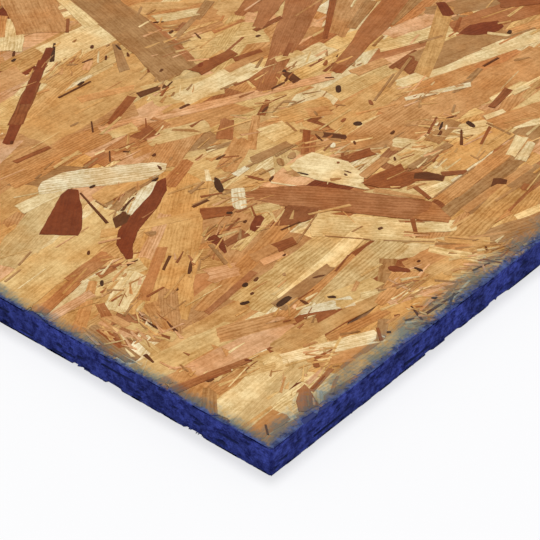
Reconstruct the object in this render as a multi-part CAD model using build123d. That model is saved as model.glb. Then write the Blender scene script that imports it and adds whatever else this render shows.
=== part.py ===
from build123d import *
import os
from math import radians, tan
from random import Random

# A sheet of oriented strand board with square sawn edges, lying flat.
# Origin at the centre of the underside, +X along the sheet, +Z up through its thickness.

# Sheet
sheet_length = 2440.0
sheet_width = 1220.0
sheet_thickness = 18.0
corner_wear = 1.5

# Strands: thin slices of wood, most of them lying near the sheet's length
strand_thickness = 0.75
strand_lie = 25.0

# Break-outs: places on the arrises where the saw tore the strand ends away
breakout_pitch = 58.0
breakout_span = 15.0
breakout_depth = 2.6
underside_strands = 2
face_strands = 1

# Slits: gaps left in the edges between strands that did not press together
slit_pitch = 95.0
slit_span = 17.0
slit_depth = 3.2
slit_strands = 1

# Spread of the break-outs and slits about their usual size and spacing
smallest_share = 0.55
largest_share = 1.45
torn_end_share = 0.4
scatter_seed = 7

# Break-outs on the underside at the near corner: distance from the corner, span, depth
near_corner_along_length = [(44.0, 9.0, 1.6), (107.0, 12.0, 3.4), (126.0, 9.0, 2.2), (148.0, 14.0, 2.6)]
near_corner_along_width = [(51.0, 12.0, 2.0), (106.0, 10.0, 1.8), (131.0, 8.0, 2.8)]
studied_stretch = 165.0
end_margin = 14.0
cutter_overlap = 1.0

scatter = Random(scatter_seed)


def around(value):
    """A size near its usual value, as sawing and pressing leave it."""
    return value * scatter.uniform(smallest_share, largest_share)


def edge_planes():
    """A plane on each side of the sheet: x along the side, y into the sheet, z up from the underside."""
    half_length = sheet_length / 2
    half_width = sheet_width / 2
    return [
        (Plane(origin=(-half_length, -half_width, 0), x_dir=(1, 0, 0)), sheet_length),
        (Plane(origin=(half_length, -half_width, 0), x_dir=(0, 1, 0)), sheet_width),
        (Plane(origin=(half_length, half_width, 0), x_dir=(-1, 0, 0)), sheet_length),
        (Plane(origin=(-half_length, half_width, 0), x_dir=(0, -1, 0)), sheet_width),
    ]


def pocket(plane, along, span, depth, lean, bottom, top):
    """The space of torn strand ends: a leaning four-sided outline, between two heights of the edge."""
    shift = lean * depth
    outline = Polygon(
        (along - span / 2, -cutter_overlap),
        (along + span / 2, -cutter_overlap),
        (along + span / 2 + shift, depth * torn_end_share),
        (along - span / 2 + shift, depth),
        align=None,
    )
    level = Plane(origin=plane.from_local_coords((0, 0, bottom)), x_dir=plane.x_dir, z_dir=plane.z_dir)
    return extrude(level * outline, amount=top - bottom)


def underside_pocket(plane, along, span, depth, lean):
    height = underside_strands * strand_thickness
    return pocket(plane, along, span, depth, lean, -cutter_overlap, height)


def face_pocket(plane, along, span, depth, lean):
    floor = sheet_thickness - face_strands * strand_thickness
    return pocket(plane, along, span, depth, lean, floor, sheet_thickness + cutter_overlap)


def slit_pocket(plane, along, span, depth, lean):
    height = slit_strands * strand_thickness
    lowest = 2 * underside_strands * strand_thickness
    highest = sheet_thickness - lowest - height
    bottom = scatter.uniform(lowest, highest)
    return pocket(plane, along, span, depth, lean, bottom, bottom + height)


def scattered(make, plane, length, pitch, span, depth, first=end_margin, last=end_margin):
    """Pockets at an uneven pitch along one side, between the margins at its two ends."""
    pockets = []
    along = first + around(pitch) / 2
    while along < length - last:
        lean = tan(radians(scatter.uniform(-strand_lie, strand_lie)))
        pockets.append(make(plane, along, around(span), around(depth), lean))
        along += around(pitch)
    return pockets


def sawn_edge_pockets():
    """Break-outs and slits of the four sides, with the near corner's own ones set by hand."""
    pockets = []
    for side, (plane, length) in enumerate(edge_planes()):
        first = studied_stretch if side == 0 else end_margin
        last = studied_stretch if side == 3 else end_margin
        pockets += scattered(
            underside_pocket, plane, length, breakout_pitch, breakout_span, breakout_depth, first, last
        )
        pockets += scattered(face_pocket, plane, length, breakout_pitch, breakout_span, breakout_depth)
        pockets += scattered(slit_pocket, plane, length, slit_pitch, slit_span, slit_depth)
    lean = tan(radians(strand_lie))
    length_side = edge_planes()[0][0]
    for distance, span, depth in near_corner_along_length:
        pockets.append(underside_pocket(length_side, distance, span, depth, -lean))
    width_side = edge_planes()[3][0]
    for distance, span, depth in near_corner_along_width:
        pockets.append(underside_pocket(width_side, sheet_width - distance, span, depth, lean))
    return pockets


def osb_panel():
    """The pressed and sawn sheet: one piece, its upright corners worn and its arrises torn."""
    sheet = extrude(Rectangle(sheet_length, sheet_width), amount=sheet_thickness)
    sheet = fillet(sheet.edges().filter_by(Axis.Z), corner_wear)
    return sheet - sawn_edge_pockets()


os.makedirs("parts", exist_ok=True)
panel = osb_panel()
panel.label = "osb_panel"
export_step(panel, "parts/osb_panel.step")
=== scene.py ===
import math
import random

import bpy
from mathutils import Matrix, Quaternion, Vector, noise
from mathutils.bvhtree import BVHTree


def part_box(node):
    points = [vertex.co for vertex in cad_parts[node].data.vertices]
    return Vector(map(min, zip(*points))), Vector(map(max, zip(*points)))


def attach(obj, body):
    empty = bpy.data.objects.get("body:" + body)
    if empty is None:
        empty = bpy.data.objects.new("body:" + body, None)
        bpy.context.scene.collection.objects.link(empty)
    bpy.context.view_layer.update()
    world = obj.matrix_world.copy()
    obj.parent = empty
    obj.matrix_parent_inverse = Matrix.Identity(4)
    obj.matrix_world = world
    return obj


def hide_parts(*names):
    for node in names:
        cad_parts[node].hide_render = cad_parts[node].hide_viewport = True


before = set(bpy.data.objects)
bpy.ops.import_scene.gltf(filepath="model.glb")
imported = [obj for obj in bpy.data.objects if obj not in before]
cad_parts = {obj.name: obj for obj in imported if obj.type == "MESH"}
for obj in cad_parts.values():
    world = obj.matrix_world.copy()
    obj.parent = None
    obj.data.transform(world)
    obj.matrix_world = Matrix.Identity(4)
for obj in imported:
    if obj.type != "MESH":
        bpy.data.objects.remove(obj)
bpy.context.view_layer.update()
sheet_low, sheet_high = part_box("osb_panel")

# Sizes in metres
MM = 0.001
sheet_thickness = sheet_high.z - sheet_low.z
near_corner = Vector((sheet_low.x, sheet_low.y))

# Strands of the faces, their angles in degrees
strand_thickness = 0.75 * MM
wide_length = (110 * MM, 160 * MM)
wide_width = (30 * MM, 44 * MM)
strand_length = (70 * MM, 135 * MM)
strand_width = (13 * MM, 26 * MM)
narrow_length = (25 * MM, 90 * MM)
narrow_width = (3 * MM, 12 * MM)
sliver_length = (6 * MM, 30 * MM)
sliver_width = (0.6 * MM, 2.4 * MM)
splinter_length = (3 * MM, 15 * MM)
splinter_width = (0.6 * MM, 2.4 * MM)
splinter_spread = 18.0
rim_width = 0.4 * MM
rim_drop = 0.13 * MM
lie_spread = 15.0
bare_inset = 0.2 * MM
least_gap = 0.3 * MM
tooth_size = 3.2 * MM
torn_back_mm = (0.8, 2.6)
torn_swing = 12
torn_share = 0.12
most_lean = 0.03 * MM
usual_lie_share = 0.82
mat_lie = 0.8
row_cover = 0.39
end_lap = (0.72, 0.92)

# Narrow strands and slivers to a square metre, how many joined meshes share each face, their seeds,
# and the shares left out where strands are set one by one
top_narrow_density = 400
top_sliver_density = 1000
underside_narrow_density = 300
underside_sliver_density = 300
top_lanes = 8
underside_lanes = 6
top_seed = 100
underside_seed = 200
left_out_narrow = 0.6
left_out_slivers = 0.3

# Strands and chips set one by one
chip_most_length = 17 * MM
chip_most_ratio = 5.5
chip_points = 12
chip_reach = 0.52
chip_squareness = 0.75
chip_gap = 0.15 * MM
station_gap = 8 * MM
most_stations = 9
most_teeth = 6
placed_lean = 0.01 * MM
shape_step = 4 * MM
shape_roughness = 0.35 * MM
shape_rise_mm = 0.005

# Grain and finish maps
grain_scale = 10
grain_shift = 40
grain_stretch = (0.7, 1.5)
bake_stretches = 3
bake_margin = 70 * MM

# Levels of the strand layers under the face plane, shallowest and deepest
splinter_levels = (0.0 * MM, 0.12 * MM)
sliver_levels = (0.0 * MM, 0.16 * MM)
shape_level = 0.09 * MM
speck_levels = (0.0, 0.02 * MM)
placed_levels = (0.02 * MM, 0.26 * MM)
narrow_levels = (0.08 * MM, 0.26 * MM)
mat_levels = [(0.38 * MM, 0.48 * MM), (0.27 * MM, 0.38 * MM)]
wide_levels = (0.50 * MM, 0.62 * MM)
underside_mat_levels = [(0.24 * MM, 0.36 * MM), (0.10 * MM, 0.22 * MM)]
underside_narrow_levels = (0.0 * MM, 0.09 * MM)
core_level = 0.8 * MM
core_inset = 4.5 * MM

# Sawn edges: ragged strand ends, with the solid's own break-outs and slits
saw_probe = 6 * MM
saw_reach = 4 * saw_probe
saw_clearance = 0.02 * MM
saw_step = (1.3 * MM, 4.0 * MM)
on_side = 0.01 * MM
face_fray = 0.45 * MM
underside_fray = 0.7 * MM
fray_level = 0.2 * MM
fray_fade = 20 * MM
fray_start = 0.25
coarse_tear = 7 * MM
fine_tear = 1.7 * MM
edge_row = 0.8 * MM
edge_relief = 0.2 * MM
crevice_depth = 1.3 * MM
strand_end_span = 11 * MM
rough_span = 2.1 * MM
rough_rise = 1.1 * MM
crevice_span = 8 * MM
crevice_rise = 1.4 * MM
crevice_drop = 40 * MM
crevice_start = 0.34
crevice_ramp = 0.25
# Colour of the edge: darker towards the bottom, with painted shade in the crevices and on the returns under
# the strands
lowest_shade = 0.86
shade_rise = 0.14
crevice_shade = 0.5
flange_width = 5.0 * MM
flange_level = 0.75 * MM
flange_shade = 0.7
end_stretch = 3 * MM
end_step = 0.5 * MM
end_taper = 2 * MM
end_least_depth = 0.6 * MM
edge_map_pieces = 12
edge_map_margin = 8 * MM

# The stretch round the near corner that the photo shows closely
studied_reach = 360 * MM

# Sealer sprayed on the edges: how far its dust drifts on to the faces
drift_on_long_sides = 18.0 * MM
drift_on_short_sides = 10.0 * MM

TONES = {
    "white": (232, 216, 178),
    "cream": (228, 203, 152),
    "straw": (214, 180, 122),
    "honey": (206, 160, 100),
    "tan": (198, 146, 92),
    "pink": (216, 168, 124),
    "umber": (170, 128, 82),
    "orange": (189, 128, 76),
    "sienna": (168, 110, 66),
    "rust": (146, 86, 46),
    "red": (122, 60, 29),
    "dark": (98, 56, 26),
    "bark": (70, 42, 21),
}

MAT_TONES = [
    ("straw", 22), ("honey", 24), ("tan", 20), ("cream", 12), ("pink", 9),
    ("orange", 6), ("umber", 5), ("sienna", 3), ("rust", 2), ("white", 2), ("red", 1),
]
SLIVER_TONES = [
    ("cream", 14), ("pink", 14), ("straw", 18), ("honey", 18), ("tan", 12), ("umber", 10),
    ("orange", 5), ("sienna", 6), ("rust", 5), ("dark", 1), ("white", 4),
]
TANGLE_TONES = [
    ("cream", 9), ("pink", 13), ("straw", 18), ("honey", 18), ("tan", 18), ("umber", 14),
    ("sienna", 7), ("rust", 4), ("dark", 1),
]
SOFT_TONES = [("cream", 14), ("pink", 14), ("straw", 22), ("honey", 22), ("tan", 16), ("umber", 6)]

# Tangles of fine splinters: the middle in millimetres from the near corner, reach, how many, and
# their turn from the long side in degrees
TANGLES = [
    (22, 112, 22, 50, 78), (50, 142, 18, 24, 20), (148, 150, 18, 36, -30), (128, 138, 18, 24, 4),
    (150, 120, 12, 10, 20), (282, 108, 15, 30, -55), (255, 95, 22, 26, -10), (226, 140, 20, 24, -8),
    (145, 30, 14, 34, -20), (48, 22, 16, 12, 20), (70, 30, 14, 16, -28), (196, 20, 14, 24, -50),
    (100, 66, 22, 20, 0), (32, 56, 20, 18, -18), (110, 198, 18, 20, 22), (240, 200, 22, 20, -30),
    (210, 262, 18, 20, 20), (255, 300, 22, 22, -20), (150, 236, 20, 20, -8), (190, 330, 20, 20, 30),
    (176, 186, 18, 18, -12), (300, 200, 14, 16, 18), (60, 160, 16, 14, -20), (226, 92, 10, 8, -48),
    (186, 62, 8, 5, -55), (270, 220, 20, 20, 10), (300, 140, 20, 20, -20), (90, 130, 18, 16, 30),
    (128, 8, 9, 22, -50), (154, 9, 10, 26, -30), (180, 9, 9, 18, -55), (206, 9, 9, 14, -20),
]


def to_linear(tone):
    """A written screen colour as the linear values that a shader takes."""
    shares = [value / 255 for value in tone]
    return [share / 12.92 if share < 0.04045 else ((share + 0.055) / 1.055) ** 2.4 for share in shares]


def pick_tone(rng, choices):
    names = [name for name, _ in choices]
    weights = [weight for _, weight in choices]
    return rng.choices(names, weights)[0]


def shaded(rng, name, spread=0.1):
    """A tone's linear colour, varied a little for each strand, and a random share for its figure."""
    red, green, blue = to_linear(TONES[name])
    value = rng.uniform(1 - spread, 1 + spread)
    warmth = rng.uniform(-0.04, 0.04)
    return (red * value * (1 + warmth), green * value, blue * value * (1 - 2 * warmth), rng.random())


# Strands set round the near corner, lowest first. Each has its tone, the two ends of its
# centre line and its width at each end, in millimetres from the near corner along the long and the
# short side. An eighth value bows its middle to the left of the way from the first end.
PLACED = [
    ("honey", 20, 90, 78, 84, 16, 12), ("straw", 4, 86, 60, 77, 18, 13),
    ("pink", 18, 66, 82, 57, 17, 16), ("tan", 50, 78, 88, 60, 12, 14),
    ("straw", 78, 83, 152, 85, 23, 22), ("straw", 104, 55, 176, 60, 20, 18),
    ("honey", 60, 49, 92, 45, 10, 16), ("straw", 2, 182, 96, 192, 28, 26),
    ("straw", 20, 205, 92, 226, 22, 26), ("honey", 40, 114, 150, 190, 36, 30),
    ("tan", 100, 118, 160, 140, 22, 26), ("tan", 240, 134, 318, 133, 24, 22),
    ("honey", 240, 158, 318, 161, 22, 20), ("tan", 245, 118, 300, 121, 16, 14),
    ("tan", 212, 160, 244, 128, 18, 20), ("straw", 268, 181, 316, 176, 18, 18),
    ("straw", 150, 190, 232, 172, 26, 24), ("honey", 118, 284, 218, 281, 30, 28),
    ("tan", 78, 262, 160, 254, 20, 18), ("straw", 196, 262, 236, 240, 26, 24),
    ("cream", 204, 246, 266, 238, 15, 19), ("cream", 190, 341, 238, 337, 26, 28),
    ("honey", 166, 316, 214, 322, 18, 20), ("straw", 252, 292, 300, 262, 26, 30),
    ("tan", 262, 318, 300, 300, 26, 24), ("tan", 290, 124, 392, 108, 30, 24),
    ("tan", 322, 114, 396, 116, 16, 16), ("umber", 318, 125, 352, 131, 6, 4),
    ("tan", 304, 88, 344, 74, 15, 15), ("tan", 296, 142, 350, 134, 18, 14),
    ("umber", 384, 196, 444, 166, 16, 20), ("sienna", 376, 172, 444, 150, 18, 26),
    ("pink", 345, 199, 396, 187, 12, 14), ("cream", 330, 195, 380, 172, 13, 14),
    ("cream", 304, 158, 412, 127, 9, 15), ("umber", 334, 163, 399, 147, 23, 19),
    ("tan", 324, 223, 380, 249, 13, 20), ("pink", 296, 228, 332, 246, 18, 12),
    ("pink", 302, 286, 316, 264, 13, 12), ("sienna", 304, 286, 340, 282, 8, 14),
    ("umber", 222, 40, 288, 40, 12, 12), ("tan", 222, 49, 284, 47, 6, 6),
    ("sienna", 238, 31, 268, 36, 5, 7), ("umber", 208, 24, 240, 13, 15, 12),
    ("cream", 236, 23, 254, 18, 5, 6), ("tan", 212, 34, 240, 30, 6, 8),
    ("tan", 220, 64, 306, 66, 11, 10), ("umber", 206, 55, 292, 56, 9, 8),
    ("honey", 250, 83, 304, 79, 22, 14), ("straw", 232, 106, 272, 104, 14, 12),
    ("cream", 252, 122, 262, 100, 10, 12), ("straw", 0, 22, 64, 31, 13, 9),
    ("cream", 2, 36, 56, 40, 16, 13), ("tan", 14, 50, 48, 48, 9, 6), ("umber", 0, 40, 15, 53, 9, 7),
    ("straw", 30, 50, 50, 40, 5, 6), ("honey", 58, 46, 160, 31, 9, 9), ("tan", 84, 33, 124, 25, 7, 6),
    ("honey", 120, 22, 168, 18, 11, 12), ("honey", 162, 28, 204, 22, 14, 16),
    ("tan", 160, 40, 200, 32, 12, 12), ("honey", 196, 34, 260, 40, 16, 14),
    ("tan", 66, 27, 98, 8, 12, 10), ("sienna", 46, 13.5, 67, 17, 3.4, 3),
    ("tan", 0, 13, 24, 13, 10, 12), ("straw", 58, 9, 104, 7, 8, 10), ("umber", 70, 13, 104, 13, 4, 4),
    ("straw", 102, 7, 152, 5, 10, 8), ("honey", 148, 10, 204, 8, 10, 9),
    ("cream", 20.5, 10.5, 28, 10, 8, 9), ("pink", 49, 18.5, 69, 20.5, 3, 2.5),
    ("white", 56, 41, 104, 15, 8, 11), ("umber", 100, 12, 116, 22, 5, 6),
    ("pink", 128, 28, 168, 12, 5, 5), ("tan", 83, 62, 150, 69, 9, 3), ("white", 92, 59, 118, 44, 5, 9),
    ("straw", 110, 51, 140, 45, 15, 9), ("umber", 135, 39, 160, 53, 4, 10),
    ("cream", 116, 46, 136, 38, 8, 3), ("tan", 124, 32, 160, 37, 5, 19),
    ("cream", 157, 104, 191, 58, 22, 19), ("cream", 190, 61, 208, 44, 11, 10),
    ("cream", 181, 42, 197, 3, 6, 9), ("straw", 154, 94, 189, 42, 5, 5),
    ("honey", 194, 40, 208, 20, 6, 9), ("tan", 60, 98, 160, 118, 9, 12),
    ("pink", 84, 116, 100, 108, 14, 12), ("sienna", 60, 95, 104, 100, 4, 5),
    ("tan", 34, 96, 62, 124, 12, 10), ("tan", 35, 100, 47, 124, 9, 8),
    ("umber", 35.5, 106, 38.5, 121, 1.8, 1.8), ("umber", 7, 97, 12, 132, 9, 8),
    ("rust", 11, 108, 14, 128, 5, 5), ("pink", 20, 108, 18, 132, 4, 3), ("tan", 26, 112, 25, 137, 5, 5),
    ("straw", 34, 94, 26, 119, 8, 6), ("straw", 19, 92, 22, 108, 6, 4),
    ("dark", 14, 96, 12, 88, 2.5, 1.2), ("cream", 30, 133, 62, 147, 14, 13),
    ("straw", 40, 158, 70, 150, 10, 12), ("tan", 4, 134, 42, 159, 8, 5),
    ("sienna", 24, 132, 30, 143, 6, 5), ("pink", 2, 154, 34, 152, 6, 7),
    ("orange", 3, 160, 36, 166, 7, 7), ("orange", 34, 168, 64, 170, 9, 9),
    ("sienna", 46, 160, 62, 158, 6, 4), ("orange", 46, 127, 88, 152, 7, 6),
    ("pink", 74, 152, 112, 172, 8, 7), ("umber", 94, 168, 92, 160, 5, 4),
    ("umber", 96, 196, 120, 203, 6, 5), ("orange", 134, 190, 160, 198, 10, 8),
    ("rust", 104, 202, 112, 205, 5, 6), ("honey", 98, 210, 134, 208, 12, 14),
    ("tan", 146, 206, 184, 222, 18, 24), ("cream", 62, 236, 96, 232, 10, 8),
    ("orange", 124, 236, 182, 238, 12, 14), ("rust", 146, 237, 171, 235, 9, 12),
    ("sienna", 118, 238, 136, 239, 5, 6), ("pink", 133, 232, 143, 230, 6, 5),
    ("straw", 160, 230, 196, 214, 14, 12), ("pink", 150, 258, 286, 194, 9, 8),
    ("rust", 159, 259, 190, 270, 5, 6), ("straw", 150, 250, 166, 246, 8, 10),
    ("sienna", 190, 197, 208, 210, 10, 8), ("umber", 178, 227, 190, 211, 3, 4.5),
    ("rust", 187, 221, 198, 220, 3, 2.4), ("tan", 192, 178, 222, 200, 6, 5),
    ("umber", 176, 196, 198, 189, 4, 4), ("tan", 166, 175, 198, 189, 12, 12),
    ("umber", 184, 170, 212, 166, 8, 6), ("cream", 208, 182, 226, 178, 17, 14),
    ("sienna", 209, 150, 230, 165, 8, 9), ("honey", 228, 188, 262, 176, 14, 16),
    ("rust", 224, 198, 240, 206, 5, 3), ("tan", 244, 178, 256, 170, 12, 10),
    ("sienna", 246, 214, 352, 269, 10, 24), ("rust", 250, 213, 300, 238, 3, 4),
    ("dark", 272, 221, 267, 206, 6, 7), ("cream", 274, 222, 312, 218, 13, 15),
    ("straw", 278, 232, 296, 226, 6, 7), ("sienna", 290, 195, 400, 225, 8, 22),
    ("rust", 291, 195, 306, 197, 6, 7), ("rust", 235, 260, 269, 258, 11, 8),
    ("rust", 261, 252, 281, 246, 5, 4), ("umber", 227, 266, 266, 396, 29, 26, -3),
    ("sienna", 243, 270, 262, 330, 6, 5, -2), ("umber", 208, 293, 228, 320, 7, 4),
    ("dark", 193, 268, 212, 263, 6, 4), ("rust", 122, 300, 164, 326, 9, 8),
    ("red", 105, 289, 184, 339, 6.5, 6.5), ("red", 165, 327, 198, 347, 5.5, 5),
    ("bark", 187, 334.5, 204, 349, 3, 1.5), ("rust", 94, 272, 119, 268, 4, 3.5),
    ("cream", 176, 366, 206, 392, 24, 20), ("cream", 234, 346, 249, 392, 10, 7),
    ("pink", 193, 312, 203, 318, 5, 5), ("sienna", 264, 300, 276, 304, 7, 5),
    ("umber", 256, 296, 290, 306, 4, 4), ("orange", 278, 283, 302, 279, 5, 4),
    ("tan", 166, 150, 176, 133, 2, 1.5), ("white", 174, 148, 182, 131, 1.6, 1.4),
    ("rust", 187, 55, 198, 66, 2.5, 3), ("tan", 112, 108, 130, 106, 8, 7),
    ("rust", 127, 105, 140, 101.5, 9, 7), ("pink", 112, 102, 127, 98, 6, 5),
    ("straw", 112, 120, 150, 128, 6, 8), ("rust", 112, 128, 128, 126, 5, 7),
    ("rust", 125, 157, 139, 146, 11, 9), ("white", 143, 144, 157, 158, 8, 8),
    ("straw", 144, 138, 160, 130, 9, 8), ("umber", 99, 115, 107, 134, 3, 2.5),
    ("white", 152, 175, 160, 184, 3.5, 2.5), ("white", 166, 168, 177, 168, 5, 4),
    ("tan", 206, 99, 218, 72, 5, 3), ("rust", 243, 80, 255, 70, 5, 4),
    ("rust", 219.5, 70, 223.5, 84, 2.6, 3.4), ("cream", 222, 75, 240, 71.5, 12, 4),
    ("umber", 237, 97, 272, 95, 5, 5), ("rust", 218, 131, 237, 124, 8, 8),
    ("umber", 226, 170, 236, 147, 3, 9), ("dark", 231, 157, 238, 145, 6, 5),
    ("rust", 211, 152, 229, 167, 2.4, 5), ("cream", 284, 61, 306, 68, 6, 8),
    ("cream", 284, 54, 304, 60, 7, 5), ("rust", 317, 225, 366, 257, 3.4, 5),
    ("umber", 358, 204, 396, 213, 2, 9), ("red", 391, 184, 401, 198, 8, 6),
    ("rust", 320, 100, 344, 104, 4, 6), ("cream", 341, 100, 354, 97, 6, 4),
    ("cream", 308, 96, 322, 92, 5, 4), ("sienna", 300, 266, 350, 288, 7, 18),
    ("rust", 296, 265, 320, 263, 4, 4), ("umber", 338, 221, 374, 233, 6, 8),
    ("tan", 297, 186, 322, 180, 9, 8), ("umber", 283, 302, 306, 311, 5, 7),
    ("cream", 266, 322, 292, 307, 10, 9), ("cream", 389, 153, 396, 139, 3, 3),
    ("umber", 390, 141, 414, 134, 2.4, 2), ("rust", 377, 169, 394, 177, 3, 2),
    ("umber", 88, 70, 134, 72, 10, 6), ("tan", 208.5, 363, 236, 407, 35, 33),
    ("sienna", 304, 285, 338, 295, 6, 12), ("umber", 266, 104, 294, 108, 10, 9),
    ("tan", 186, 380, 206, 398, 8, 8), ("tan", 212, 112, 236, 114, 6, 6),
    ("rust", 424, 168, 446, 152, 10, 12),
]

# Strands of the near corner that are odd in shape: the tone, the turn of the grain in degrees, and
# the corners in millimetres from the near corner, anticlockwise
SHAPES = [
    ("sienna", 42, [(30, 8), (33, 5), (40, 3.5), (44, 10), (47, 15), (48.5, 19.5), (42, 19), (36, 15)]),
    ("cream", 42, [(41, 4), (45, 4), (50, 9.5), (49.5, 12), (45, 11.5)]),
    ("red", -15, [(377, 166), (380, 159), (384, 155), (389, 151), (396, 149), (403, 150), (406, 157),
                  (399, 162), (390, 167)]),
    ("white", -35, [(80, 238), (86, 233), (97, 229), (112, 215), (125, 206), (135, 201), (144, 201),
                    (150, 205), (146, 212), (134, 222), (116, 236), (104, 244), (90, 246), (84, 243)]),
    ("red", 38, [(53, 211), (66, 194), (72, 197), (84, 208), (98, 225), (95, 230), (88, 229)]),
    ("white", 24, [(99, 185), (110, 187), (122, 190), (134, 196), (131, 199), (120, 199), (108, 193),
                   (99, 190)]),
    ("red", 27, [(67, 159), (70, 157), (80, 166), (90, 172), (102, 176), (115, 180), (130, 187),
                 (139, 196), (132, 197), (120, 191), (104, 187), (97, 185), (84, 181), (74, 173)]),
    ("red", 25, [(131, 123), (137, 124), (145, 127.5), (146, 131), (143, 133), (136, 130), (131, 127)]),
    ("dark", -10, [(251, 51), (256, 50), (259, 46), (263, 48), (262, 52), (259, 55), (256, 53.5)]),
    ("dark", 20, [(84, 183), (92, 182), (99, 186), (97, 191), (90, 191)]),
    ("sienna", -55, [(153, 150), (160, 129), (164, 121), (172, 108), (179, 97), (184, 88), (191, 75),
                     (197, 66), (202, 57), (208, 49), (213, 53), (218, 67), (214, 76), (208, 88),
                     (202, 99), (196, 111), (190, 122), (184, 132), (166, 149)]),
    ("orange", -55, [(197, 67), (202, 57), (207, 48), (212, 50), (216, 60), (218, 67), (210, 64)]),
    ("rust", 12, [(143, 119), (150, 111), (165, 107), (172, 111), (168, 119), (163, 126), (152, 122)]),
    ("cream", -62, [(190, 139), (194, 126), (199, 114), (203, 103), (205, 101), (206, 106), (214, 113),
                    (219, 128), (213, 150), (202, 152), (193, 150)]),
    ("rust", -20, [(206, 109), (210, 97), (216, 89), (230, 85), (239, 75), (243, 77), (240, 88),
                   (232, 96), (237, 104), (224, 107)]),
    ("dark", -35, [(229, 89), (238, 75), (243, 77), (240, 87), (234, 92)]),
]
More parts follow.
